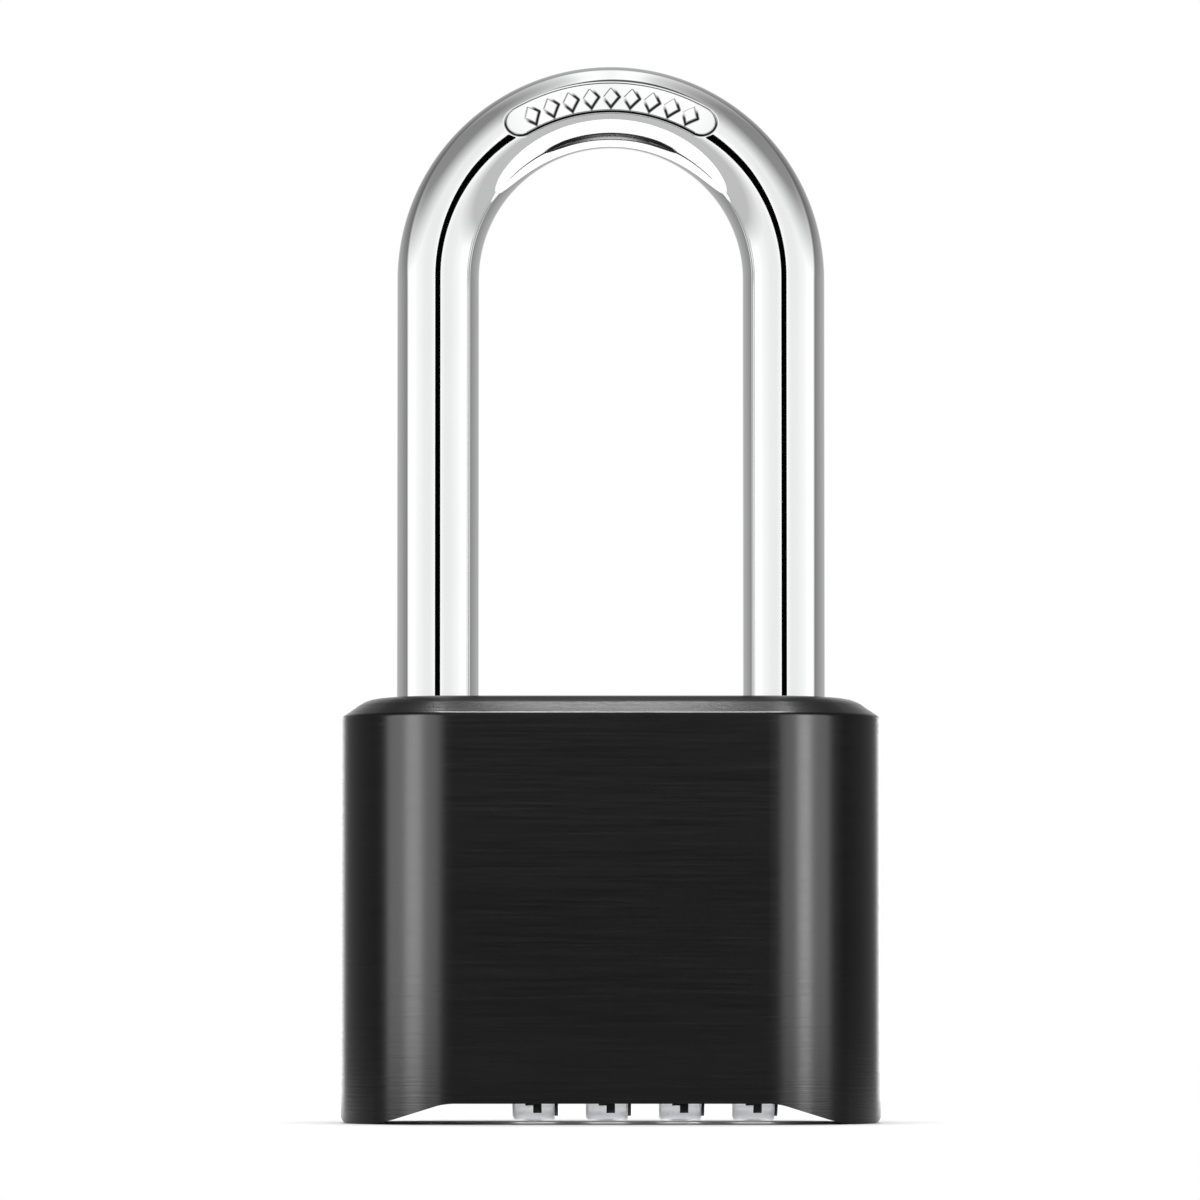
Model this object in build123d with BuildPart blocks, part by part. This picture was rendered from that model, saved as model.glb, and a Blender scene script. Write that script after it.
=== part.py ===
"""Combination padlock with four dials under the body and a long shackle.

Millimetres, +Z up, +X to the toe leg's side, the front faces -Y.
The origin is the centre of the lock's box on the surface that its two feet stand on.
"""

import os
from math import atan2, degrees, radians, sqrt, tan

from build123d import *

# ---- driving dimensions -------------------------------------------------------------
# body
body_width = 52.0
body_depth = 28.0
body_height = 40.8
shoulder_reach = 11.0        # from each side to the straight stretch of the front and the back
corner_radius = 9.5
top_bevel_in = 2.6
top_bevel_down = 1.8
bevel_lower_round = 0.5
bevel_upper_round = 3.6
relief_height = 2.0          # the middle of the underside above the feet
relief_top = 31.6            # width of the raised middle, corner to corner
relief_mouth = 44.4          # width between the feet, corner to corner
relief_top_round = 6.0
relief_mouth_round = 12.0
foot_edge_round = 0.85

# shackle
shackle_diameter = 8.0
shackle_clear_width = 25.4
shackle_height = 102.1       # top of the bow above the feet
shackle_lift = 12.0
bore_clearance = 0.1
heel_floor = 1.1             # metal between the cover's seat and the heel bore
heel_floor_gap = 0.2
toe_tip = 30.5               # height of the short leg's end
toe_chamfer = 1.0
heel_chamfer = 0.5
groove_depth = 1.2

# dials
dial_count = 4
dial_pitch = 7.03
dial_radius = 8.0
dial_drop = 1.76             # how far the dials reach below the raised middle
dial_width = 4.05
dial_left_bevel = 0.4
dial_right_bevel = 0.2
positions = 10
star_thickness = 0.3
star_step = 0.4              # how much smaller the star wheel is
star_notch_radius = 0.8

# code sleeves, spindle and bolt
sleeve_radius = 4.0
lug_height = 0.4
lug_width = 1.6
sleeve_bore = 3.45
flange_thickness = 0.8
spindle_radius = 1.6
fin_reach = 3.25
fin_width = 1.5
fin_length = 1.0
bolt_travel = 2.0
bolt_radius = 2.0
bolt_length = 3.0
bolt_bevel = 0.7
bolt_engagement = 1.3        # how far the shot bolt reaches into the heel leg
tenon_radius = 1.2
tenon_length = 2.0
collar_radius = 2.7
collar_thickness = 0.6
tail_radius = 1.2
spring_wire = 0.45
spring_radius = 2.15         # to the middle of the wire
spring_turns = 3.5
spring_pocket_radius = 3.0

# frame, cover and fasteners
cover_thickness = 1.2        # under the raised middle
cover_margin = 0.9           # how far the cover reaches past the frame
cover_corner = 3.0
bolt_wall = 1.0              # metal of the body between the heel bore and the frame
frame_wall = 1.05            # in front of the dials and behind them
frame_roof = 1.0
end_plate = 1.7
end_block = 4.0
end_wall = 1.2               # behind the spring
ear_length = 3.25
ear_wall = 1.5               # between the heel bore and an ear, seen along the dials' axis
rail_round = 0.8
window_corner = 0.5
comb_space = 2.9
rivet_radius = 0.9
rivet_head_radius = 1.5
rivet_head_height = 0.6
rivet_depth = 4.0
screw_radius = 1.25
screw_head_radius = 2.0
screw_head_height = 1.6
screw_socket = 0.8
screw_socket_depth = 1.0
screw_engagement = 4.6
toe_floor = 27.4
heel_pin_radius = 1.0
heel_pin_height = 27.0
heel_pin_reach = 5.0         # past the heel leg's axis, towards the front
heel_pin_recess = 0.3        # under the back's surface
comb_thickness = 0.3
comb_front = 4.5
comb_back = 8.2
comb_reach = 2.0             # how far a finger's slot runs past the dials' axis, towards the front
comb_root = 0.5              # how far a finger is joined to the strip
comb_bend = 1.5              # from the dials' axis to the bend in a finger
nib_half = 0.25
nib_height = 0.6
lead_length = 1.0            # the sloping end past the nib
lead_rise = 1.5
comb_screw_radius = 0.8
comb_screw_head = 1.3
comb_screw_depth = 2.6
comb_screw_head_height = 0.8
comb_screw_slot = 0.4

# clearances
running = 0.05               # a shaft or a lug in its bearing, on the radius
seat = 0.1                   # a piece dropped in its pocket
side = 0.35                  # a wheel beside a wall
window_gap = 0.25            # a wheel beside the edge of its window
slack = 0.1                  # a fin beside a flange, a nib in its notch
touch = 0.01                 # an edge this near to a height is picked there

# ---- values worked out from them ----------------------------------------------------
leg_x = (shackle_clear_width + shackle_diameter) / 2
leg_radius = shackle_diameter / 2
bow_centre = shackle_height - leg_radius - leg_x
bore_radius = leg_radius + bore_clearance

axis_z = relief_height - dial_drop + dial_radius
star_radius = dial_radius - star_step
wheel_width = dial_width + star_thickness
frame_left = -leg_x + bore_radius + bolt_wall + seat
centres = [frame_left + end_plate + side + wheel_width / 2 + i * dial_pitch for i in range(dial_count)]
wheel_start = -wheel_width / 2
dial_end = wheel_start + dial_width
wheel_end = dial_end + star_thickness
plate_start = wheel_end + side
plate_middle = (plate_start + dial_pitch + wheel_start - side) / 2
lug_radius = sleeve_radius + lug_height
bearing_radius = lug_radius + running

frame_right = centres[-1] + plate_start + end_block
sleeve_start = plate_middle - dial_pitch + running   # from the middle of its wheel
sleeve_length = dial_pitch - 2 * running
guide_thickness = centres[0] + sleeve_start - running - frame_left
frame_half_depth = dial_radius + side + frame_wall
ear_inner = bore_radius + ear_wall
cover_top = relief_height + cover_thickness
frame_top = axis_z + dial_radius + side + frame_roof
pocket_top = frame_top + comb_space
heel_bottom = cover_top + heel_floor + heel_floor_gap
notch_half = bolt_radius + 3 * slack

bolt_tip = -leg_x + leg_radius - bolt_engagement + bolt_travel
bolt_back = bolt_tip + bolt_length
flange_start = -slack - flange_thickness             # a fin starts at the middle of its dial
collar_start = centres[-1] + bolt_travel
spring_start = collar_start + collar_thickness
spring_end = frame_right - end_wall


def across(x):
    """A plane square to the dials' axis, with its origin on that axis."""
    return Plane(origin=(x, 0, axis_z), x_dir=(0, 1, 0), z_dir=(1, 0, 0))


def lugged_disc(radius, tip_radius, width):
    """A disc with four lugs on it, to draw in the sketch that is open."""
    Circle(radius)
    Rectangle(3 * tip_radius, width, rotation=45)
    Rectangle(3 * tip_radius, width, rotation=135)
    Circle(tip_radius, mode=Mode.INTERSECT)


def body_outline():
    """Plan of the body: flat front and back, two corner arcs and a wide side arc on each side."""
    half_depth, half_flat = body_depth / 2, body_width / 2 - shoulder_reach
    rise = half_depth - corner_radius
    side_radius = (shoulder_reach**2 + rise**2 - corner_radius**2) / (2 * (shoulder_reach - corner_radius))
    side_angle = degrees(atan2(rise, side_radius - shoulder_reach))
    with BuildSketch() as plan:
        with BuildLine():
            front = Line((-half_flat, -half_depth), (half_flat, -half_depth))
            front_corner = JernArc(front @ 1, front % 1, corner_radius, 90 - side_angle)
            flank = JernArc(front_corner @ 1, front_corner % 1, side_radius, 2 * side_angle)
            back_corner = JernArc(flank @ 1, flank % 1, corner_radius, 90 - side_angle)
            Line(back_corner @ 1, (-half_flat, half_depth))
            mirror([front_corner, flank, back_corner], about=Plane.YZ)
        make_face()
    return plan.sketch


def underside_profile():
    """Front view of everything above the underside: two feet and the raised middle between them."""
    ramp = degrees(atan2(relief_height, (relief_mouth - relief_top) / 2))
    top_tangent = relief_top_round * tan(radians(ramp / 2))
    mouth_tangent = relief_mouth_round * tan(radians(ramp / 2))
    slope = sqrt(relief_height**2 + ((relief_mouth - relief_top) / 2) ** 2)
    half_width = body_width / 2
    with BuildSketch(Plane.XZ.offset(-body_depth)) as profile:
        with BuildLine():
            middle = Line((0, relief_height), (relief_top / 2 - top_tangent, relief_height))
            bend = JernArc(middle @ 1, middle % 1, relief_top_round, -ramp)
            fall = Line(bend @ 1, (bend @ 1) + (bend % 1) * (slope - top_tangent - mouth_tangent))
            toe = JernArc(fall @ 1, fall % 1, relief_mouth_round, ramp)
            foot = Line(toe @ 1, (half_width - foot_edge_round, 0))
            edge = JernArc(foot @ 1, foot % 1, foot_edge_round, 90)
            wall = Line(edge @ 1, (half_width, body_height))
            lid = Line(wall @ 1, (0, body_height))
            mirror([middle, bend, fall, toe, foot, edge, wall, lid], about=Plane.YZ)
        make_face()
    return profile.sketch


def frame_plan(grow):
    """Plan of the frame, grown or shrunk: a block with two ears that pass the heel bore."""
    left, right = frame_left - grow, frame_right + grow
    deep = frame_half_depth + grow
    inner = ear_inner - grow
    with BuildSketch() as plan:
        with Locations(((left + right) / 2, 0)):
            Rectangle(right - left, 2 * deep)
        ear_x, ear_y = left - ear_length / 2, (deep + inner) / 2
        with Locations((ear_x, ear_y), (ear_x, -ear_y)):
            Rectangle(ear_length, deep - inner)
        fillet(plan.vertices().group_by(Axis.X)[0] + plan.vertices().group_by(Axis.X)[-1], rail_round)
    return plan.sketch


def cover_plan(grow):
    """Plan of the cover, grown or shrunk."""
    left = frame_left - ear_length - cover_margin - grow
    right = frame_right + cover_margin + grow
    with BuildSketch() as plan:
        with Locations(((left + right) / 2, 0)):
            RectangleRounded(right - left, 2 * (frame_half_depth + cover_margin + grow), cover_corner)
    return plan.sketch


rivet_points = [
    (frame_left - ear_length / 2, (frame_half_depth + ear_inner) / 2),
    (frame_left - ear_length / 2, -(frame_half_depth + ear_inner) / 2),
    (frame_right - end_block / 2, (frame_half_depth + ear_inner) / 2),
    (frame_right - end_block / 2, -(frame_half_depth + ear_inner) / 2),
]
comb_screw_points = [(x, (comb_front + comb_back) / 2) for x in (centres[0], centres[-1])]
screw_x = frame_right - end_block / 2
heel_pin_x = -leg_x - leg_radius + groove_depth - slack - heel_pin_radius
pin_back = (body_depth / 2 - corner_radius - heel_pin_recess
            + sqrt(corner_radius**2 - (body_width / 2 - shoulder_reach + heel_pin_x) ** 2))

os.makedirs("parts", exist_ok=True)

# ---- body: die-cast, with the pocket for the frame cut in from below ------------------
with BuildPart() as lock_body:
    add(body_outline())
    extrude(amount=body_height)
    extrude(underside_profile(), amount=2 * body_depth, mode=Mode.INTERSECT)
    rim = lock_body.faces().sort_by(Axis.Z)[-1]
    chamfer(rim.edges(), length=top_bevel_in, length2=top_bevel_down, reference=rim)
    fillet(lock_body.edges().group_by(Axis.Z)[-1], bevel_upper_round)
    lower_edge_height = body_height - top_bevel_down
    lowest, highest = lower_edge_height - touch, lower_edge_height + touch
    fillet(lock_body.edges().filter_by_position(Axis.Z, lowest, highest), bevel_lower_round)

    # shackle bores
    with BuildSketch(Plane.XY.offset(heel_bottom - heel_floor_gap)):
        with Locations((-leg_x, 0)):
            Circle(bore_radius)
    extrude(amount=body_height, mode=Mode.SUBTRACT)
    with BuildSketch(Plane.XY.offset(toe_floor)):
        with Locations((leg_x, 0)):
            Circle(bore_radius)
    extrude(amount=body_height, mode=Mode.SUBTRACT)

    # pocket for the frame, and the seat for the cover round its mouth
    add(frame_plan(seat))
    extrude(amount=pocket_top, mode=Mode.SUBTRACT)
    add(cover_plan(seat))
    extrude(amount=cover_top, mode=Mode.SUBTRACT)

    # way for the bolt, hole for the retaining screw, hole for the heel pin
    with BuildSketch(across(-leg_x)):
        Circle(notch_half)
    extrude(amount=leg_x + frame_left, mode=Mode.SUBTRACT)
    with BuildSketch(Plane.XY.offset(frame_top)):
        with Locations((screw_x, 0)):
            Circle(screw_radius + seat)
    extrude(amount=toe_floor + screw_head_height - frame_top, mode=Mode.SUBTRACT)
    with BuildSketch(Plane(origin=(heel_pin_x, -heel_pin_reach, heel_pin_height), z_dir=(0, 1, 0))):
        Circle(heel_pin_radius)
    extrude(amount=body_depth, mode=Mode.SUBTRACT)
lock_body.part.label = "lock_body"
export_step(lock_body.part, "parts/lock_body.step")

# ---- cover: closes the pocket, a window for each dial ---------------------------------
with BuildPart() as bottom_cover:
    add(cover_plan(0))
    extrude(amount=cover_top)
    extrude(underside_profile(), amount=2 * body_depth, mode=Mode.INTERSECT)
    window_half = sqrt(dial_radius**2 - (axis_z - cover_top) ** 2) + 2 * window_gap
    with BuildSketch():
        for centre in centres:
            with Locations((centre + (wheel_start + wheel_end) / 2, 0)):
                RectangleRounded(wheel_width + 2 * window_gap, 2 * window_half, window_corner)
    extrude(amount=cover_top, mode=Mode.SUBTRACT)
    with BuildSketch():
        with Locations(*rivet_points):
            Circle(rivet_radius)
    extrude(amount=cover_top, mode=Mode.SUBTRACT)
    with BuildSketch():
        with Locations(*rivet_points):
            Circle(rivet_head_radius)
    extrude(amount=cover_top - rivet_head_height / 2, mode=Mode.SUBTRACT)
bottom_cover.part.label = "bottom_cover"
export_step(bottom_cover.part, "parts/bottom_cover.step")

# ---- frame: a block with a pocket for each dial, open below ---------------------------
with BuildPart() as dial_frame:
    with BuildSketch(Plane.XY.offset(cover_top)):
        add(frame_plan(0))
    extrude(amount=frame_top - cover_top)
    for centre in centres:
        with BuildSketch(across(centre + wheel_start - side)):
            Circle(dial_radius + side)
            with Locations((0, -dial_radius)):
                Rectangle(2 * (dial_radius + side), 2 * dial_radius)
        extrude(amount=wheel_width + 2 * side, mode=Mode.SUBTRACT)
        # slot that lets the comb's finger down to the star wheel
        with BuildSketch(Plane.XY.offset(axis_z)):
            with Locations((centre + (dial_end - slack + plate_start) / 2, (comb_front - comb_reach) / 2)):
                Rectangle(plate_start - dial_end + slack, comb_front + comb_reach)
        extrude(amount=frame_top, mode=Mode.SUBTRACT)
    with BuildSketch(across(frame_left)):
        Circle(bearing_radius)
    extrude(amount=centres[-1] + plate_middle - frame_left, mode=Mode.SUBTRACT)
    with BuildSketch(across(0)):
        Circle(spring_pocket_radius)
    extrude(amount=spring_end, mode=Mode.SUBTRACT)
    with BuildSketch(across(0)):
        Circle(tail_radius + running)
    extrude(amount=frame_right + seat, mode=Mode.SUBTRACT)
    with BuildSketch(Plane.XY.offset(cover_top)):
        with Locations(*rivet_points):
            Circle(rivet_radius)
    extrude(amount=rivet_depth, mode=Mode.SUBTRACT)
    with BuildSketch(Plane.XY.offset(frame_top - comb_screw_depth)):
        with Locations(*comb_screw_points):
            Circle(comb_screw_radius)
    extrude(amount=comb_screw_depth, mode=Mode.SUBTRACT)
    with BuildSketch(Plane.XY.offset(frame_top - screw_engagement)):
        with Locations((screw_x, 0)):
            Circle(screw_radius)
    extrude(amount=screw_engagement, mode=Mode.SUBTRACT)
dial_frame.part.label = "dial_frame"
export_step(dial_frame.part, "parts/dial_frame.step")

# ---- rivets that hold the cover to the frame ------------------------------------------
with BuildPart() as cover_rivets:
    with BuildSketch(Plane.XY.offset(cover_top - rivet_head_height)):
        with Locations(*rivet_points):
            Circle(rivet_head_radius)
    extrude(amount=rivet_head_height / 2)
    with BuildSketch(Plane.XY.offset(cover_top - rivet_head_height / 2)):
        with Locations(*rivet_points):
            Circle(rivet_radius)
    extrude(amount=rivet_head_height / 2 + rivet_depth)
cover_rivets.part.label = "cover_rivets"
export_step(cover_rivets.part, "parts/cover_rivets.step")

# ---- screw down the toe bore into the frame -------------------------------------------
with BuildPart() as retaining_screw:
    with BuildSketch(Plane.XY.offset(frame_top - screw_engagement)):
        with Locations((screw_x, 0)):
            Circle(screw_radius)
    extrude(amount=toe_floor - frame_top + screw_engagement)
    with BuildSketch(Plane.XY.offset(toe_floor)):
        with Locations((screw_x, 0)):
            Circle(screw_head_radius)
    extrude(amount=screw_head_height)
    with BuildSketch(Plane.XY.offset(toe_floor + screw_head_height - screw_socket_depth)):
        with Locations((screw_x, 0)):
            RegularPolygon(screw_socket, 6)
    extrude(amount=screw_socket_depth, mode=Mode.SUBTRACT)
retaining_screw.part.label = "retaining_screw"
export_step(retaining_screw.part, "parts/retaining_screw.step")

# ---- shackle: one bar, with the notch, flat and groove of the heel leg ----------------
with BuildPart() as shackle:
    with BuildSketch(Plane.XY.offset(heel_bottom)):
        with Locations((-leg_x, 0)):
            Circle(leg_radius)
    extrude(amount=bow_centre - heel_bottom)
    with BuildSketch(Plane.XY.offset(toe_tip)):
        with Locations((leg_x, 0)):
            Circle(leg_radius)
    extrude(amount=bow_centre - toe_tip)
    with BuildSketch(Plane.XY.offset(bow_centre)):
        with Locations((leg_x, 0)):
            Circle(leg_radius)
    revolve(axis=Axis((0, 0, bow_centre), (0, -1, 0)), revolution_arc=180)
    chamfer(shackle.edges().filter_by(GeomType.CIRCLE).sort_by(Axis.Z)[0], heel_chamfer)
    ends = shackle.edges().filter_by(GeomType.CIRCLE)
    chamfer(ends.filter_by_position(Axis.Z, toe_tip - touch, toe_tip + touch), toe_chamfer)
    # notch for the bolt, on the side of the dials
    with Locations((-leg_x + leg_radius, 0, axis_z)):
        Box(2 * (bolt_engagement + 2 * slack), shackle_diameter, 2 * notch_half, mode=Mode.SUBTRACT)
    # flat that the heel pin runs in, and the groove that lets the lifted shackle turn
    groove_half = heel_pin_radius + slack
    with Locations((-leg_x - leg_radius, 0, heel_pin_height - shackle_lift / 2)):
        Box(2 * groove_depth, shackle_diameter, shackle_lift + 2 * groove_half, mode=Mode.SUBTRACT)
    with BuildSketch(Plane.XY.offset(heel_pin_height - shackle_lift - groove_half)):
        with Locations((-leg_x, 0)):
            Circle(shackle_diameter)
            Circle(leg_radius - groove_depth, mode=Mode.SUBTRACT)
    extrude(amount=2 * groove_half, mode=Mode.SUBTRACT)
shackle.part.label = "shackle"
export_step(shackle.part, "parts/shackle.step")

# ---- heel pin: driven in from the back -------------------------------------------------
with BuildPart() as heel_pin:
    with BuildSketch(Plane(origin=(heel_pin_x, -heel_pin_reach, heel_pin_height), z_dir=(0, 1, 0))):
        Circle(heel_pin_radius)
    extrude(amount=heel_pin_reach + pin_back)
heel_pin.part.label = "heel_pin"
export_step(heel_pin.part, "parts/heel_pin.step")

# ---- one dial, star wheel and code sleeve for each figure of the code ------------------
for number, centre in enumerate(centres, start=1):
    with BuildPart() as dial:
        with BuildSketch(across(centre + wheel_start)):
            Circle(dial_radius)
        extrude(amount=dial_width)
        chamfer(dial.edges().sort_by(Axis.X)[0], dial_left_bevel)
        chamfer(dial.edges().sort_by(Axis.X)[-1], dial_right_bevel)
        with BuildSketch(across(centre + wheel_start)):
            lugged_disc(sleeve_radius, lug_radius, lug_width)
        extrude(amount=dial_width, mode=Mode.SUBTRACT)
    dial.part.label = f"dial_{number}"
    export_step(dial.part, f"parts/dial_{number}.step")

    with BuildPart() as star_wheel:
        with BuildSketch(across(centre + dial_end)):
            Circle(star_radius)
            with PolarLocations(star_radius, positions, start_angle=90):
                Circle(star_notch_radius, mode=Mode.SUBTRACT)
        extrude(amount=star_thickness)
        with BuildSketch(across(centre + dial_end)):
            lugged_disc(sleeve_radius, lug_radius, lug_width)
        extrude(amount=star_thickness, mode=Mode.SUBTRACT)
    star_wheel.part.label = f"star_wheel_{number}"
    export_step(star_wheel.part, f"parts/star_wheel_{number}.step")

    with BuildPart() as code_sleeve:
        with BuildSketch(across(centre + sleeve_start)):
            lugged_disc(sleeve_radius, lug_radius, lug_width)
            Circle(sleeve_bore, mode=Mode.SUBTRACT)
        extrude(amount=sleeve_length)
        with BuildSketch(across(centre + flange_start)):
            Circle((sleeve_bore + sleeve_radius) / 2)
            Circle(spindle_radius + slack, mode=Mode.SUBTRACT)
            with Locations((0, sleeve_bore / 2)):
                Rectangle(fin_width + 2 * slack, sleeve_bore, mode=Mode.SUBTRACT)
        extrude(amount=flange_thickness)
    code_sleeve.part.label = f"code_sleeve_{number}"
    export_step(code_sleeve.part, f"parts/code_sleeve_{number}.step")

# ---- spindle: a turned rod with four fins, a collar for its spring and a tail ----------
with BuildPart() as spindle:
    with BuildSketch(across(bolt_back)):
        Circle(spindle_radius)
    extrude(amount=collar_start - bolt_back)
    with BuildSketch(across(bolt_back - tenon_length)):
        Circle(tenon_radius)
    extrude(amount=tenon_length)
    with BuildSketch(across(collar_start)):
        Circle(collar_radius)
    extrude(amount=collar_thickness)
    with BuildSketch(across(spring_start)):
        Circle(tail_radius)
    extrude(amount=frame_right - 3 * slack - spring_start)
    for centre in centres:
        with BuildSketch(across(centre)):
            with Locations((0, fin_reach / 2)):
                Rectangle(fin_width, fin_reach)
        extrude(amount=fin_length)
spindle.part.label = "spindle"
export_step(spindle.part, "parts/spindle.step")

with BuildPart() as locking_bolt:
    with BuildSketch(across(bolt_tip)):
        Circle(bolt_radius)
    extrude(amount=bolt_length)
    chamfer(locking_bolt.edges().sort_by(Axis.X)[0], bolt_bevel)
    with BuildSketch(across(bolt_back - tenon_length)):
        Circle(tenon_radius)
    extrude(amount=tenon_length, mode=Mode.SUBTRACT)
locking_bolt.part.label = "locking_bolt"
export_step(locking_bolt.part, "parts/locking_bolt.step")

# ---- bush in the frame's end plate ------------------------------------------------------
with BuildPart() as bolt_guide:
    with BuildSketch(across(frame_left)):
        Circle(bearing_radius)
        Circle(bolt_radius + running, mode=Mode.SUBTRACT)
    extrude(amount=guide_thickness)
bolt_guide.part.label = "bolt_guide"
export_step(bolt_guide.part, "parts/bolt_guide.step")

# ---- coil spring between the spindle's collar and the end of the frame ------------------
with BuildPart() as spindle_spring:
    coil_length = spring_end - spring_start - spring_wire - 2 * slack
    coil_start = spring_start + spring_wire / 2 + slack
    with BuildLine() as coil:
        Helix(coil_length / spring_turns, coil_length, spring_radius, center=(coil_start, 0, axis_z),
              direction=(1, 0, 0))
    with BuildSketch(Plane(origin=coil.line @ 0, z_dir=coil.line % 0)):
        Circle(spring_wire / 2)
    sweep(path=coil.line, is_frenet=True)
spindle_spring.part.label = "spindle_spring"
export_step(spindle_spring.part, "parts/spindle_spring.step")

# ---- leaf comb: a strip on the frame, and a finger for each star wheel ------------------
with BuildPart() as detent_spring:
    comb_left, comb_right = centres[0] + wheel_start, centres[-1] + wheel_end
    with BuildSketch(Plane.XY.offset(frame_top)):
        with Locations(((comb_left + comb_right) / 2, (comb_front + comb_back) / 2)):
            Rectangle(comb_right - comb_left, comb_back - comb_front)
        with Locations(*comb_screw_points):
            Circle(comb_screw_radius, mode=Mode.SUBTRACT)
    extrude(amount=comb_thickness)
    nib_tip = axis_z + star_radius - star_notch_radius + 2 * slack
    for centre in centres:
        with BuildSketch(Plane.YZ.offset(centre + dial_end)):
            with BuildLine():
                Polyline(
                    (comb_front + comb_root, frame_top),
                    (comb_front + comb_root, frame_top + comb_thickness),
                    (comb_bend, frame_top + comb_thickness),
                    (nib_half, nib_tip + nib_height),
                    (-nib_half, nib_tip + nib_height),
                    (comb_thickness - nib_half - lead_length, nib_tip + lead_rise + slack),
                    (-nib_half - lead_length, nib_tip + lead_rise),
                    (-nib_half, nib_tip),
                    (nib_half, nib_tip),
                    (comb_bend - slack, frame_top),
                    close=True,
                )
            make_face()
        extrude(amount=star_thickness)
detent_spring.part.label = "detent_spring"
export_step(detent_spring.part, "parts/detent_spring.step")

with BuildPart() as detent_screws:
    with BuildSketch(Plane.XY.offset(frame_top - comb_screw_depth)):
        with Locations(*comb_screw_points):
            Circle(comb_screw_radius)
    extrude(amount=comb_screw_depth + comb_thickness)
    with BuildSketch(Plane.XY.offset(frame_top + comb_thickness)):
        with Locations(*comb_screw_points):
            Circle(comb_screw_head)
    extrude(amount=comb_screw_head_height)
    with BuildSketch(Plane.XY.offset(frame_top + comb_thickness + comb_screw_head_height / 2)):
        with Locations(*comb_screw_points):
            Rectangle(2 * comb_screw_head, comb_screw_slot)
    extrude(amount=comb_screw_head_height, mode=Mode.SUBTRACT)
detent_screws.part.label = "detent_screws"
export_step(detent_screws.part, "parts/detent_screws.step")
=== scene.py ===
"""A long-shackle combination padlock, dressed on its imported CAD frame.

The sections follow the lock as it is put together: the body and its cover, the mechanism inside,
the dials with their figures, the shackle, and last the plain studio it stands in. The lock's sizes
are in millimetres and become metres where a mesh is made. The studio's are in metres.
"""

from math import cos, pi, radians, sin, sqrt

import bmesh
import bpy
import numpy as np
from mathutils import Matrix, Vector


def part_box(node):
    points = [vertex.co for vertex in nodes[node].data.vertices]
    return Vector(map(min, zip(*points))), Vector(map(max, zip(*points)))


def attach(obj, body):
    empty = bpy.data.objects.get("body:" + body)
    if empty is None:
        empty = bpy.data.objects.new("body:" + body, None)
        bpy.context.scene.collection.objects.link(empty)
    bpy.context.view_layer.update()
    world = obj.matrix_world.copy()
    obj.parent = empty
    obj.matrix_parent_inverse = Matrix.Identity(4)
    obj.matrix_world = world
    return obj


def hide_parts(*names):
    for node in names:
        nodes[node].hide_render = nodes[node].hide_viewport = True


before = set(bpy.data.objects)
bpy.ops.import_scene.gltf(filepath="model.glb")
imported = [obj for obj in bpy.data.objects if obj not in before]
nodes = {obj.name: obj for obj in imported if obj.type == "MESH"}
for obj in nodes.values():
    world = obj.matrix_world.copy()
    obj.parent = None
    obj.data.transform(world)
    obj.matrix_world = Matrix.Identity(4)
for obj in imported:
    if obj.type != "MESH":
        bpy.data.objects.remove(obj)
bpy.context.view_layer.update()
MM = 0.001


# ---- Body, cover and rivets ----------------------------------------------------------
# Zinc die castings, ground with a fine brush that ran level round the body, then painted thin
# satin black. The paint is so thin that the brushing still shows where light falls along it.

class Value:
    """A socket of a material's nodes. Arithmetic on values adds Math nodes."""

    def __init__(self, tree, socket):
        self.tree, self.socket = tree, socket

    def node(self, kind, settings, inputs, output=0):
        """Adds a node: its type, its settings (a ramp's stops among them), its sockets' values or links."""
        made = self.tree.nodes.new("ShaderNode" + kind)
        for name, setting in settings.items():
            if name == "stops":
                ramp = made.color_ramp
                while len(ramp.elements) < len(setting):
                    ramp.elements.new(0.5)
                for element, (place, level) in zip(ramp.elements, setting):
                    element.position = place
                    element.color = (level, level, level, 1)
            else:
                setattr(made, name, setting)
        for name, value in inputs.items():
            if isinstance(value, Value):
                self.tree.links.new(value.socket, made.inputs[name])
            else:
                made.inputs[name].default_value = value
        return Value(self.tree, made.outputs[output])

    def math(self, operation, *others):
        values = dict(enumerate([self, *others]))
        return self.node("Math", {"operation": operation}, values)

    def __add__(self, other):
        return self.math("ADD", other)

    def __sub__(self, other):
        return self.math("SUBTRACT", other)

    def __rsub__(self, other):
        return (self * -1.0) + other

    def __mul__(self, other):
        return self.math("MULTIPLY", other)

    def clamped(self, slope):
        """0 well below zero, a half at zero and 1 well above it, with an edge as steep as slope."""
        settings = {"operation": "MULTIPLY_ADD", "use_clamp": True}
        return self.node("Math", settings, {0: self, 1: slope, 2: 0.5})

    __radd__ = __add__
    __rmul__ = __mul__


def open_material(name):
    """A new material with one Principled shader: the material, its Object coordinates and its shader node."""
    material = bpy.data.materials.new(name)
    material.use_nodes = True
    tree = material.node_tree
    shader = tree.nodes["Principled BSDF"]
    place = Value(tree, tree.nodes.new("ShaderNodeTexCoord").outputs["Object"])
    return material, place, shader


def dress(place, shader, sockets):
    """Sets the shader's sockets: a value links, a plain number or colour is set."""
    for name, value in sockets.items():
        if isinstance(value, Value):
            place.tree.links.new(value.socket, shader.inputs[name])
        else:
            shader.inputs[name].default_value = value


def grain(place, scale, detail=3.0):
    """Noise stretched by scale, in cycles a metre along X, Y and Z, from 0 to 1."""
    stretched = place.node("Mapping", {}, {"Vector": place, "Scale": scale})
    return place.node("TexNoise", {}, {"Vector": stretched, "Scale": 1.0, "Detail": detail, "Roughness": 0.6})


def two_tone(place, mask, dark, light):
    """A colour between two, by mask."""
    return place.node("Mix", {"data_type": "RGBA"}, {0: mask, 6: (*dark, 1), 7: (*light, 1)}, output=2)


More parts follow.
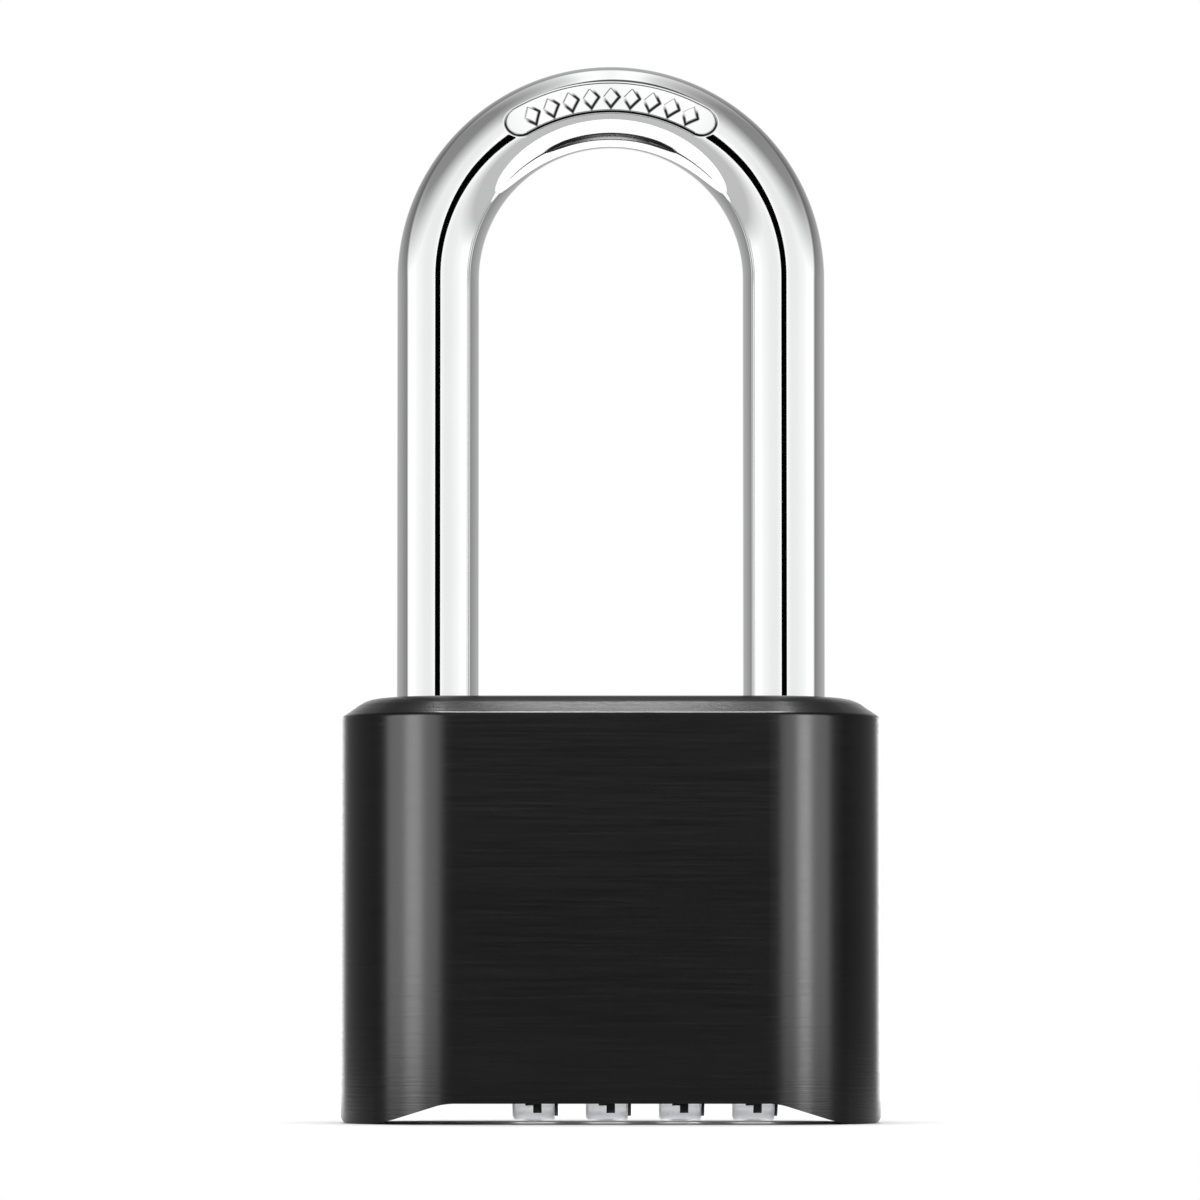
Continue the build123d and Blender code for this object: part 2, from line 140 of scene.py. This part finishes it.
def relief(place, height, depth):
    """A normal from a height of 0 to 1 that stands for depth, in metres."""
    return place.node("Bump", {}, {"Strength": 1.0, "Distance": depth, "Height": height})


def wear(names, material):
    """Gives the CAD pieces of these names one material."""
    for name in names:
        worn = nodes[name].data.materials
        worn.clear()
        worn.append(material)


def black_paint():
    """Nearly black and little glossy. The brushing runs level, so its noise is fine only along Z."""
    material, place, shader = open_material("black_paint")
    streaks = grain(place, (110, 110, 5200), 4.0)
    cloud = grain(place, (60, 60, 60), 2.0)
    dress(place, shader, {
        "Base Color": two_tone(place, streaks, (0.0006, 0.0006, 0.0007), (0.0014, 0.0014, 0.0015)),
        "Roughness": streaks * 0.14 + cloud * 0.03 + 0.16,
        "Specular IOR Level": 0.1,
        "Normal": relief(place, streaks, 7.0e-6),
    })
    return material


painted_names = ("lock_body", "bottom_cover", "cover_rivets")
wear(painted_names, black_paint())


# ---- Frame, pins, screws and springs --------------------------------------------------
# The frame is an as-cast zinc block. Pins and screws are zinc-plated steel, the comb and the
# coil are plain spring steel, the spindle, sleeves and bush are turned brass.

def cast_zinc():
    """Bare zinc with the grit of its mould."""
    material, place, shader = open_material("cast_zinc")
    grit = grain(place, (2500, 2500, 2500), 5.0)
    cloud = grain(place, (150, 150, 150))
    dress(place, shader, {
        "Base Color": two_tone(place, cloud, (0.34, 0.345, 0.355), (0.47, 0.475, 0.49)),
        "Metallic": 1.0,
        "Roughness": grit * 0.25 + 0.38,
        "Normal": relief(place, grit, 1.2e-5),
    })
    return material


def turned_metal(name, dark, light, roughness):
    """Metal turned about the dials' axis: fine rings that change along X."""
    material, place, shader = open_material(name)
    rings = grain(place, (9000, 120, 120))
    cloud = grain(place, (200, 200, 200))
    dress(place, shader, {
        "Base Color": two_tone(place, cloud, dark, light),
        "Metallic": 1.0,
        "Roughness": rings * 0.15 + cloud * 0.08 + roughness,
        "Normal": relief(place, rings, 2.0e-6),
    })
    return material


brass = turned_metal("turned_brass", (0.60, 0.41, 0.16), (0.76, 0.55, 0.25), 0.16)
plated_steel = turned_metal("plated_steel", (0.46, 0.47, 0.49), (0.62, 0.63, 0.66), 0.2)
spring_steel = turned_metal("spring_steel", (0.30, 0.29, 0.28), (0.42, 0.41, 0.40), 0.25)
wear(["dial_frame"], cast_zinc())
wear(["spindle", "bolt_guide"], brass)
wear(["retaining_screw", "heel_pin", "detent_screws", "locking_bolt"], plated_steel)
wear(["detent_spring", "spindle_spring"], spring_steel)


# ---- Dials, star wheels and code sleeves ----------------------------------------------
# Each dial is a die-cast ring, satin chromed, bevelled at both rims. Beside it sits a thin star
# wheel of blackened steel, and both are keyed to a brass sleeve.

dial_left_bevel, dial_right_bevel = (0.24, 0.32), (0.16, 0.16)    # along the axis, along the radius
dial_bore = 4.45
dial_rim = 0.05              # a narrow row beside each bevel keeps the shading of the ring's face even
dial_steps = 360


def satin_chrome():
    """Chrome over turning marks, which change along X."""
    material, place, shader = open_material("satin_chrome")
    rings = grain(place, (14000, 90, 90), 4.0)
    cloud = grain(place, (300, 300, 300))
    dress(place, shader, {
        "Base Color": two_tone(place, cloud, (0.74, 0.745, 0.76), (0.84, 0.845, 0.86)),
        "Metallic": 1.0,
        "Roughness": rings * 0.16 + cloud * 0.05 + 0.14,
        "Normal": relief(place, rings, 1.5e-6),
    })
    return material


def black_oxide():
    """Blackened steel, half dull."""
    material, place, shader = open_material("black_oxide")
    rings = grain(place, (300, 2600, 2600))
    dress(place, shader, {
        "Base Color": two_tone(place, rings, (0.012, 0.012, 0.014), (0.03, 0.03, 0.033)),
        "Metallic": 0.5,
        "Roughness": rings * 0.2 + 0.35,
        "Normal": relief(place, rings, 3.0e-6),
    })
    return material


def mesh_from_grid(name, points, material, closed_rows, sharp_angle=35):
    """An object from a grid of points in millimetres. Each row is a closed ring; the rows close on
    each other too, or else each end is closed by one point at its ring's middle."""
    rows, columns = points.shape[:2]
    row = np.arange(rows if closed_rows else rows - 1)[:, None]
    column = np.arange(columns)[None, :]
    after_row, after_column = (row + 1) % rows, (column + 1) % columns
    corners = [row * columns + column, row * columns + after_column,
               after_row * columns + after_column, after_row * columns + column]
    faces = np.stack(np.broadcast_arrays(*corners), -1).reshape(-1, 4).tolist()
    vertices = points.reshape(-1, 3)
    if not closed_rows:
        ends = np.stack([points[0].mean(0), points[-1].mean(0)])
        first, last = len(vertices), len(vertices) + 1
        vertices = np.concatenate([vertices, ends])
        ring, turn = np.arange(columns), (np.arange(columns) + 1) % columns
        base = (rows - 1) * columns
        faces += np.stack([turn, ring, np.full(columns, first)], -1).tolist()
        faces += np.stack([base + ring, base + turn, np.full(columns, last)], -1).tolist()
    mesh = bpy.data.meshes.new(name)
    mesh.from_pydata((vertices * MM).tolist(), [], faces)
    mesh.materials.append(material)
    mesh.shade_smooth()
    mesh.set_sharp_from_angle(angle=radians(sharp_angle))
    piece = bpy.data.objects.new(name, mesh)
    bpy.context.scene.collection.objects.link(piece)
    return piece


def dial_ring(name, left, right, radius, axis_height, material):
    """A ring turned about the dials' axis: the closed section (x, r) carried round the angle a,
    at the points (x, -r sin a, axis_height - r cos a)."""
    (lx, lr), (rx, rr) = dial_left_bevel, dial_right_bevel
    half_way = (dial_bore + radius) / 2
    section = np.array([
        (left, dial_bore), (left, half_way), (left, radius - lr), (left + lx, radius),
        (left + lx + dial_rim, radius), (right - rx - dial_rim, radius), (right - rx, radius),
        (right, radius - rr), (right, half_way), (right, dial_bore),
    ])
    a = np.arange(dial_steps) * 2 * pi / dial_steps
    x, r = section[:, 0][:, None], section[:, 1][:, None]
    points = np.stack(np.broadcast_arrays(x + 0 * a, -r * np.sin(a), axis_height - r * np.cos(a)), -1)
    return mesh_from_grid(name, points, material, closed_rows=True, sharp_angle=25)


# The figures stand a tenth of a turn apart, upright when read from the front, 0 near the bottom.
# They are pad-printed black, so each is a thin inlay wrapped round its dial.
figures = "0123456789"
figure_height = 2.1
figure_stretch = 1.3         # how much wider than its type the figure is printed
figure_phase = -3.3          # degrees from the bottom to the middle of the 0
figure_lift = 0.012
figure_sink = 0.05
figure_type_size = 3.9
figure_bold = 0.16
figure_edge = 0.3            # the longest edge left on a figure before it is wrapped
figure_half_plate = 0.5
edge_cuts = 4
weld = 1e-4
one_outline = [
    (-0.08, -1.05), (0.54, -1.05), (0.54, 1.05), (0.12, 1.05),
    (-0.06, 0.8), (-0.66, 0.66), (-0.66, 0.38), (-0.08, 0.42),
]


def figure_ink():
    """Dull black ink with a faint speck."""
    material, place, shader = open_material("figure_ink")
    speck = grain(place, (4000, 4000, 4000))
    dress(place, shader, {
        "Base Color": two_tone(place, speck, (0.004, 0.004, 0.004), (0.012, 0.012, 0.012)),
        "Roughness": speck * 0.2 + 0.3,
        "Specular IOR Level": 0.15,
        "Normal": relief(place, speck, 2.0e-6),
    })
    return material


def figure_curve(character):
    """The outline of a figure. The 1 is drawn: a wide stem and a short flag."""
    if character == "1":
        curve = bpy.data.curves.new("figure", "CURVE")
        curve.dimensions = "2D"
        curve.fill_mode = "BOTH"
        outline = curve.splines.new("POLY")
        outline.points.add(len(one_outline) - 1)
        for point, (x, y) in zip(outline.points, one_outline):
            point.co = (x, y, 0, 1)
        outline.use_cyclic_u = True
    else:
        curve = bpy.data.curves.new("figure", "FONT")
        curve.body = character
        curve.size = figure_type_size
        curve.offset = figure_bold
    curve.extrude = figure_half_plate
    return curve


def flat_figure(character):
    """A figure as a thin closed plate, centred, with no edge longer than figure_edge."""
    maker = bpy.data.objects.new("figure", figure_curve(character))
    bpy.context.scene.collection.objects.link(maker)
    shown = maker.evaluated_get(bpy.context.evaluated_depsgraph_get())
    plate = bmesh.new()
    plate.from_mesh(bpy.data.meshes.new_from_object(shown))
    bpy.data.objects.remove(maker)
    bmesh.ops.remove_doubles(plate, verts=plate.verts, dist=weld)
    bmesh.ops.triangulate(plate, faces=plate.faces)
    for _ in range(edge_cuts):
        level = [e for e in plate.edges if abs(e.verts[0].co.z - e.verts[1].co.z) < figure_half_plate]
        too_long = [e for e in level if e.calc_length() > figure_edge]
        bmesh.ops.subdivide_edges(plate, edges=too_long, cuts=1)
        bmesh.ops.triangulate(plate, faces=plate.faces)
    points = np.array([v.co for v in plate.verts])
    faces = [[v.index for v in f.verts] for f in plate.faces]
    plate.free()
    low, high = points.min(0), points.max(0)
    points -= (low + high) / 2
    shrink = figure_height / (high[1] - low[1])
    points *= shrink * figure_stretch, shrink, 1
    return points, faces


def dial_figures(name, middle, radius, axis_height, material):
    """The ten figures of a dial: a flat figure's height becomes the angle a = place + y / radius,
    and its thickness becomes the radius."""
    all_points, all_faces, count = [], [], 0
    for digit, character in enumerate(figures):
        points, faces = flat_figure(character)
        a = radians(360 / len(figures) * digit + figure_phase) + points[:, 1] / radius
        r = np.where(points[:, 2] > 0, radius + figure_lift, radius - figure_sink)
        all_points.append(np.stack([middle + points[:, 0], -r * np.sin(a), axis_height - r * np.cos(a)], -1))
        all_faces += [[count + i for i in face] for face in faces]
        count += len(points)
    mesh = bpy.data.meshes.new(name)
    mesh.from_pydata((np.concatenate(all_points) * MM).tolist(), [], all_faces)
    mesh.materials.append(material)
    piece = bpy.data.objects.new(name, mesh)
    bpy.context.scene.collection.objects.link(piece)
    return piece


chrome_finish, ink, oxide = satin_chrome(), figure_ink(), black_oxide()
dial_rings = []
for number in (1, 2, 3, 4):
    low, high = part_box(f"dial_{number}")
    radius = (high.y - low.y) / 2 / MM
    axis_height = (low.z + high.z) / 2 / MM
    ring = dial_ring(f"dial_{number}_ring", low.x / MM, high.x / MM, radius, axis_height, chrome_finish)
    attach(ring, f"dial_{number}")
    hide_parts(f"dial_{number}")
    printed = dial_figures(f"dial_{number}_figures", (low.x + high.x) / 2 / MM, radius, axis_height, ink)
    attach(printed, f"dial_{number}")
    dial_rings.append(ring)
    wear([f"star_wheel_{number}"], oxide)
    wear([f"code_sleeve_{number}"], brass)


# ---- Shackle ---------------------------------------------------------------------------
# One bar of hardened steel, bent to a U, with a stamped panel on the bow, then polished and
# chromed. The heel leg has a notch for the bolt, a flat for the heel pin and a groove.

low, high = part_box("shackle")
bar_radius = (high.y - low.y) / 2 / MM
leg_x = high.x / MM - bar_radius
bow_height = high.z / MM - bar_radius - leg_x    # where the legs end and the bow starts
heel_end = low.z / MM
toe_end = 30.5
heel_chamfer, toe_chamfer = 0.5, 1.0
notch_low, notch_high, notch_depth = 5.94, 10.54, 1.5
groove_low, groove_high, groove_depth = 13.9, 16.1, 1.2
flat_high = 28.1
leg_step = 2.0
edge_pair = 0.01             # how far from an edge its two close stations lie

# The stamped panel, on the bar unrolled: u runs along the bow's middle line and v round the bar.
panel_half_length = 8.75
panel_middle = 0.69          # from the foremost line of the bar to the panel's middle, outwards
panel_half_width = 1.35
panel_sink = 0.04
panel_shoulder = 0.12
outline_place = 0.08         # outside the panel's edge
outline_depth, outline_width = 0.10, 0.1
# How wide the painted dark reflection along the outline is, and how much lighter it is painted at the top.
outline_dark_width, outline_fade = 0.13, 0.4
lozenge_count = 9
lozenge_pitch = 1.9
lozenge_half_length, lozenge_half_width = 0.68, 0.88
lozenge_raise, lozenge_slope = 0.10, 0.3
# Where and how wide the painted shadow beside each lozenge lies.
lozenge_dark_place, lozenge_dark_width = 0.2, 0.28
nowhere = 9                  # a distance far outside every lozenge
nearly_zero = 1e-6
fine_half_length = 10.6      # the bow's mesh is fine this far from its top
fine_step = 0.055
coarse_stations = 40
fine_from, fine_to = -0.28, 0.62      # the stretch round the bar whose mesh is fine, in radians
fine_columns, coarse_columns = 66, 72


def polished_chrome():
    """Mirror chrome. Where the attribute marks it, the colour is painted near black: a painted dark
    reflection along the stamped panel's outline and a painted shadow beside each lozenge.
    """
    material, place, shader = open_material("polished_chrome")
    haze = grain(place, (90, 90, 90))
    scratch = grain(place, (2600, 2600, 160), 5.0)
    painted_shade_mask = place.node("Attribute", {"attribute_name": "stamped"}, {}, output=2)
    chrome = two_tone(place, haze, (0.90, 0.905, 0.91), (0.95, 0.955, 0.96))
    # The colour of the painted shade: a near black that stands for the dark reflection along the outline and
    # the shadow beside each lozenge.
    painted_shade_colour = (0.006, 0.006, 0.007, 1)
    dress(place, shader, {
        "Base Color": place.node("Mix", {"data_type": "RGBA"}, {0: painted_shade_mask, 6: chrome, 7: painted_shade_colour}, output=2),
        "Metallic": 1.0,
        "Roughness": haze * 0.02 + scratch * 0.03 + painted_shade_mask * 0.3 + 0.015,
    })
    return material


def stations(low, high, edges):
    """Heights from low to high, leg_step apart or a little less, with a close pair at each edge."""
    near = [e + d for e in edges for d in (-edge_pair, edge_pair)]
    return np.unique(np.concatenate([np.linspace(low, high, int((high - low) / leg_step) + 2), near]))


def pill_distance(u, v, half_length, half_width):
    """Distance outside a pill's outline, negative inside."""
    return np.hypot(np.maximum(np.abs(u) - half_length, 0), v) - half_width


def ease(x):
    """A soft step from 0 at 0 to 1 at 1: 3 x^2 - 2 x^3."""
    x = np.clip(x, 0, 1)
    return x * x * (3 - 2 * x)


def flat_radius(depth, t, angle):
    """The radius at t of a flat cut this deep into the bar and square to angle: (R - depth) / cos."""
    return (bar_radius - depth) / np.maximum(np.cos(t - angle), nearly_zero)


def leg_radius(r, z, t, heel, toe):
    """The radius r of the legs at the height z, cut at the notch, the flat, the groove and both ends."""
    def between(a, b):
        return heel & (z > a) & (z < b)

    r = np.where(between(notch_low, notch_high), np.minimum(r, flat_radius(notch_depth, t, -pi / 2)), r)
    r = np.where(between(groove_low, flat_high), np.minimum(r, flat_radius(groove_depth, t, pi / 2)), r)
    r = np.where(between(groove_low, groove_high), bar_radius - groove_depth, r)
    r = np.where(heel, np.minimum(r, bar_radius - heel_chamfer + np.maximum(z - heel_end, 0)), r)
    return np.where(toe, np.minimum(r, bar_radius - toe_chamfer + np.maximum(z - toe_end, 0)), r)


def stamping(u, t):
    """The stamped panel: how far the surface rises, and how dark it is painted, at u along the bow and t
    round the bar. The panel is a flat pill in a groove, and the lozenges are raised from it. The
    outline carries a painted dark reflection, lighter at the top, and each lozenge a painted shadow to its
    lower right."""
    v = (((t + pi) % (2 * pi)) - pi) * bar_radius - panel_middle
    outside = pill_distance(u, v, panel_half_length, panel_half_width)
    nearest = np.round(u / lozenge_pitch)
    along = (u / lozenge_pitch - nearest) * lozenge_pitch
    lozenge = np.abs(along) / lozenge_half_length + np.abs(v) / lozenge_half_width - 1
    lozenge = np.where(np.abs(nearest) <= (lozenge_count - 1) / 2, lozenge, nowhere)

    pad = ease(0.5 - outside / panel_shoulder)
    sunk = flat_radius(panel_sink, t, panel_middle / bar_radius) - bar_radius
    rise = pad * sunk - outline_depth * np.exp(-((outside - outline_place) / outline_width) ** 2)
    rise = rise + lozenge_raise * ease(0.5 - lozenge / lozenge_slope)

    # Painted shade: the outline is painted dark as if it mirrored the dark gap, less so near the top, and
    # each lozenge gets a painted shadow to its lower right.
    upper = ease((v - 0.5) / 0.6)
    painted_outline_reflection = np.exp(-((outside - outline_place) / outline_dark_width) ** 4) * (1 - outline_fade * upper)
    lower_right = ease(0.8 + (along - v) / 0.8)
    painted_lozenge_shadow = np.exp(-((lozenge - lozenge_dark_place) / lozenge_dark_width) ** 4) * lower_right
    return rise, np.clip(painted_outline_reflection + painted_lozenge_shadow, 0, 1)


def shackle_surface(material):
    """A circle of bar_radius carried up the heel leg, round the bow and down the toe leg. turn goes
    from -90 degrees at the heel leg to 90 at the toe leg, and t from the front (0) to the outside of
    the bend (90 degrees): the point is middle + r (front cos t + out sin t)."""
    notches = (notch_low, notch_high, groove_low, groove_high, flat_high)
    heel = stations(heel_end, bow_height, (heel_end + heel_chamfer, *notches))
    toe = stations(toe_end, bow_height, (toe_end + toe_chamfer,))[::-1]
    fine = np.arange(-fine_half_length, fine_half_length, fine_step) / leg_x
    side = np.linspace(fine_half_length / leg_x, pi / 2, coarse_stations)
    bend = np.concatenate([-side[::-1], fine[1:], side])
    coarse = np.linspace(fine_to, 2 * pi + fine_from, coarse_columns)[1:-1]
    t = np.concatenate([np.linspace(fine_from, fine_to, fine_columns), coarse])

    piece_of = np.repeat(["heel", "bow", "toe"], [len(heel), len(bend), len(toe)])
    on_heel, on_bow, on_toe = [(piece_of == part)[:, None] for part in ("heel", "bow", "toe")]
    z = np.concatenate([heel, 0 * bend, toe])
    turn = np.concatenate([0 * heel - pi / 2, bend, 0 * toe + pi / 2])
    out = np.stack([np.sin(turn), 0 * turn, np.cos(turn)], -1)
    middle = np.stack([leg_x * np.sin(turn), 0 * turn, bow_height + leg_x * np.cos(turn)], -1)
    middle[:, 2] = np.where(on_bow[:, 0], middle[:, 2], z)

    rise, dark = stamping((turn * leg_x)[:, None], t[None, :])
    r = leg_radius(np.full((len(z), len(t)), bar_radius), z[:, None], t[None, :], on_heel, on_toe)
    r = r + np.where(on_bow, rise, 0)
    # The panel's painted shade (dark reflection along the outline, shadow beside the lozenges), kept on the
    # points for the chrome's colour.
    stamped = np.where(on_bow, dark, 0)

    front = np.array([0.0, -1.0, 0.0])
    ring = np.cos(t)[None, :, None] * front + np.sin(t)[None, :, None] * out[:, None, :]
    points = middle[:, None, :] + r[..., None] * ring
    piece = mesh_from_grid("shackle_bar", points, material, closed_rows=False)
    painted_shade_mask = piece.data.attributes.new("stamped", "FLOAT", "POINT")
    painted_shade_mask.data.foreach_set("value", np.append(stamped.ravel(), [0, 0]).astype(np.float32))
    return piece


shackle = shackle_surface(polished_chrome())
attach(shackle, "shackle")
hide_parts("shackle")


# ---- Studio ----------------------------------------------------------------------------
# A pale round table in a white room with a narrow dark gap behind the camera. The room's light
# makes the chrome's picture. The black paint has soft boxes of its own, at both sides and overhead,
# so that its brushed corners show, and the dials have two from below.

table_radius = 0.13
table_segments = 96


def pale_table():
    """Matt and nearly white."""
    material, place, shader = open_material("pale_table")
    cloud = grain(place, (3, 3, 3))
    dress(place, shader, {
        "Base Color": two_tone(place, cloud, (0.86, 0.86, 0.86), (0.9, 0.9, 0.9)),
        "Roughness": cloud * 0.1 + 0.6,
    })
    return material


table_turn = np.arange(table_segments) * 2 * pi / table_segments
table_rim = table_radius * np.stack([np.cos(table_turn), np.sin(table_turn), 0 * table_turn], -1)
table_mesh = bpy.data.meshes.new("table")
table_mesh.from_pydata(table_rim.tolist(), [], [list(range(table_segments))])
table_mesh.materials.append(pale_table())
table = bpy.data.objects.new("table", table_mesh)
bpy.context.scene.collection.objects.link(table)


def surround():
    """The room's light by direction. The camera itself sees white. For the rest the level changes with
    the distance from the middle plane. It is lower under the table and behind the lock, with a lighter
    window there, lower high up at both sides, and dark in the gap behind the camera and in a thin
    lens overhead."""
    world = bpy.data.worlds.new("surround")
    bpy.context.scene.world = world
    world.use_nodes = True
    tree = world.node_tree
    shader = tree.nodes["Background"]
    way = Value(tree, tree.nodes.new("ShaderNodeTexCoord").outputs["Generated"])
    x, y, z = [way.node("SeparateXYZ", {}, {0: way}, output=axis) for axis in range(3)]
    side = x.math("ABSOLUTE")
    peak = 1.2
    levels = [(0.0, 1.0), (0.13, 1.15), (0.2, 0.97), (0.35, 0.89), (0.6, 0.9), (0.85, 1.0), (1.0, 1.15)]
    stops = [(place, level / peak) for place, level in levels]
    room = way.node("ValToRGB", {"stops": stops}, {0: side}) * peak

    # under the table's level
    floor_level = 0.55
    below = (z * -1.0 - 0.2).clamped(5.0)
    room = room * (1.0 - below) + below * floor_level

    # behind the lock, with a window straight behind it
    window = (y - 0.92).clamped(14.0) * 0.5
    back_level = y * 0.3 + 0.2 + window
    back = (y - z.math("MAXIMUM", 0.0) * 0.73).clamped(8.0)
    room = room * (1.0 - back) + back * back_level

    # high up at both sides
    corner_depth = 0.72
    corner = (side * z * 2.0 + y.math("MINIMUM", 0.0) * 0.4 - 0.5).clamped(1.33)
    room = room * (1.0 - corner * corner_depth)

    # the gap behind the camera
    gap_half_width, gap_half_height = 0.13, 0.19
    in_width = (gap_half_width - side).clamped(90.0)
    in_height = (gap_half_height - z.math("ABSOLUTE")).clamped(60.0)
    room = room * (1.0 - in_width * in_height * (y * -1.0).clamped(20.0))

    # the lens overhead
    lens_tilt = radians(75)
    lens_middle, lens_half_thickness, lens_depth = 0.07, 0.13, 0.9
    across_lens = z * cos(lens_tilt) + y * sin(lens_tilt)
    along_lens = (x - lens_middle) * 2.8
    lens_edge = (1.0 - along_lens * along_lens) * lens_half_thickness
    room = room * (1.0 - (lens_edge - across_lens.math("ABSOLUTE")).clamped(60.0) * lens_depth)

    seen = way.node("LightPath", {}, {}, output="Is Camera Ray")
    tree.links.new((seen + (1.0 - seen) * room).socket, shader.inputs["Strength"])
    shader.inputs["Color"].default_value = (1, 1, 1, 1)


surround()


def group(name, pieces):
    """A collection outside the scene, which says what a lamp lights or what holds its light off."""
    collection = bpy.data.collections.new(name)
    for piece in pieces:
        collection.objects.link(piece)
    return collection


painted = group("painted", [nodes[name] for name in painted_names])
numbered = group("numbered", dial_rings)
tabled = group("tabled", [table])


boxes_face = Vector((0, 0, 0.02))


def soft_box(name, heading, lift, distance, size, radiance, catchers, blockers=None):
    """An even light of size (width, height) that only its catchers catch. heading is in degrees from
    the front, to the right, and lift in degrees above the table; radiance is what a mirror would show."""
    width, height = size
    lamp = bpy.data.lights.new(name, "AREA")
    lamp.shape = "RECTANGLE"
    lamp.size, lamp.size_y = width, height
    lamp.energy = radiance * pi * width * height
    turn, rise = radians(heading), radians(lift)
    toward = Vector((sin(turn) * cos(rise), -cos(turn) * cos(rise), sin(rise)))
    holder = bpy.data.objects.new(name, lamp)
    holder.location = boxes_face + toward * distance
    holder.rotation_euler = (-toward).to_track_quat("-Z", "Y").to_euler()
    holder.visible_camera = False
    holder.light_linking.receiver_collection = catchers
    holder.light_linking.blocker_collection = blockers
    bpy.context.scene.collection.objects.link(holder)


soft_box("left_strip", heading=-48, lift=0, distance=0.7, size=(0.24, 0.8), radiance=20, catchers=painted)
soft_box("left_wash", heading=-50, lift=0, distance=0.7, size=(0.92, 0.8), radiance=12, catchers=painted)
soft_box("left_back", heading=-166, lift=0, distance=0.7, size=(0.3, 0.22), radiance=2, catchers=painted)
soft_box("right_strip", heading=44, lift=0, distance=0.7, size=(0.17, 0.8), radiance=30, catchers=painted)
soft_box("right_wash", heading=46, lift=0, distance=0.7, size=(0.82, 0.8), radiance=11, catchers=painted)
soft_box("right_back", heading=166, lift=0, distance=0.7, size=(0.3, 0.22), radiance=2.8, catchers=painted)
soft_box("ceiling", heading=0, lift=98, distance=0.7, size=(0.26, 0.24), radiance=95, catchers=painted)
soft_box("table_light", heading=0, lift=90, distance=1.5, size=(1.0, 1.0), radiance=7, catchers=tabled)
soft_box("under_dials", heading=180, lift=-75, distance=0.5, size=(0.8, 0.12), radiance=7,
         catchers=numbered, blockers=painted)
soft_box("behind_dials", heading=180, lift=-20, distance=0.5, size=(0.8, 0.16), radiance=10,
         catchers=numbered, blockers=painted)

# The camera stands low in front of the lock and looks at the middle of the whole.
camera_distance = 0.80
camera_height = 0.012
aim = (-0.00105, 0.0, 0.0504)
view_width = 0.1159
sensor_width = 36.0

optics = bpy.data.cameras.new("camera")
optics.sensor_width = sensor_width
optics.lens = sensor_width * sqrt(camera_distance**2 + (aim[2] - camera_height) ** 2) / view_width
optics.clip_start, optics.clip_end = 0.05, 20
camera = bpy.data.objects.new("camera", optics)
camera.location = (aim[0], -camera_distance, camera_height)
camera.rotation_euler = (Vector(aim) - camera.location).to_track_quat("-Z", "Y").to_euler()
bpy.context.scene.collection.objects.link(camera)
bpy.context.scene.camera = camera
bpy.context.scene.view_settings.view_transform = "Standard"
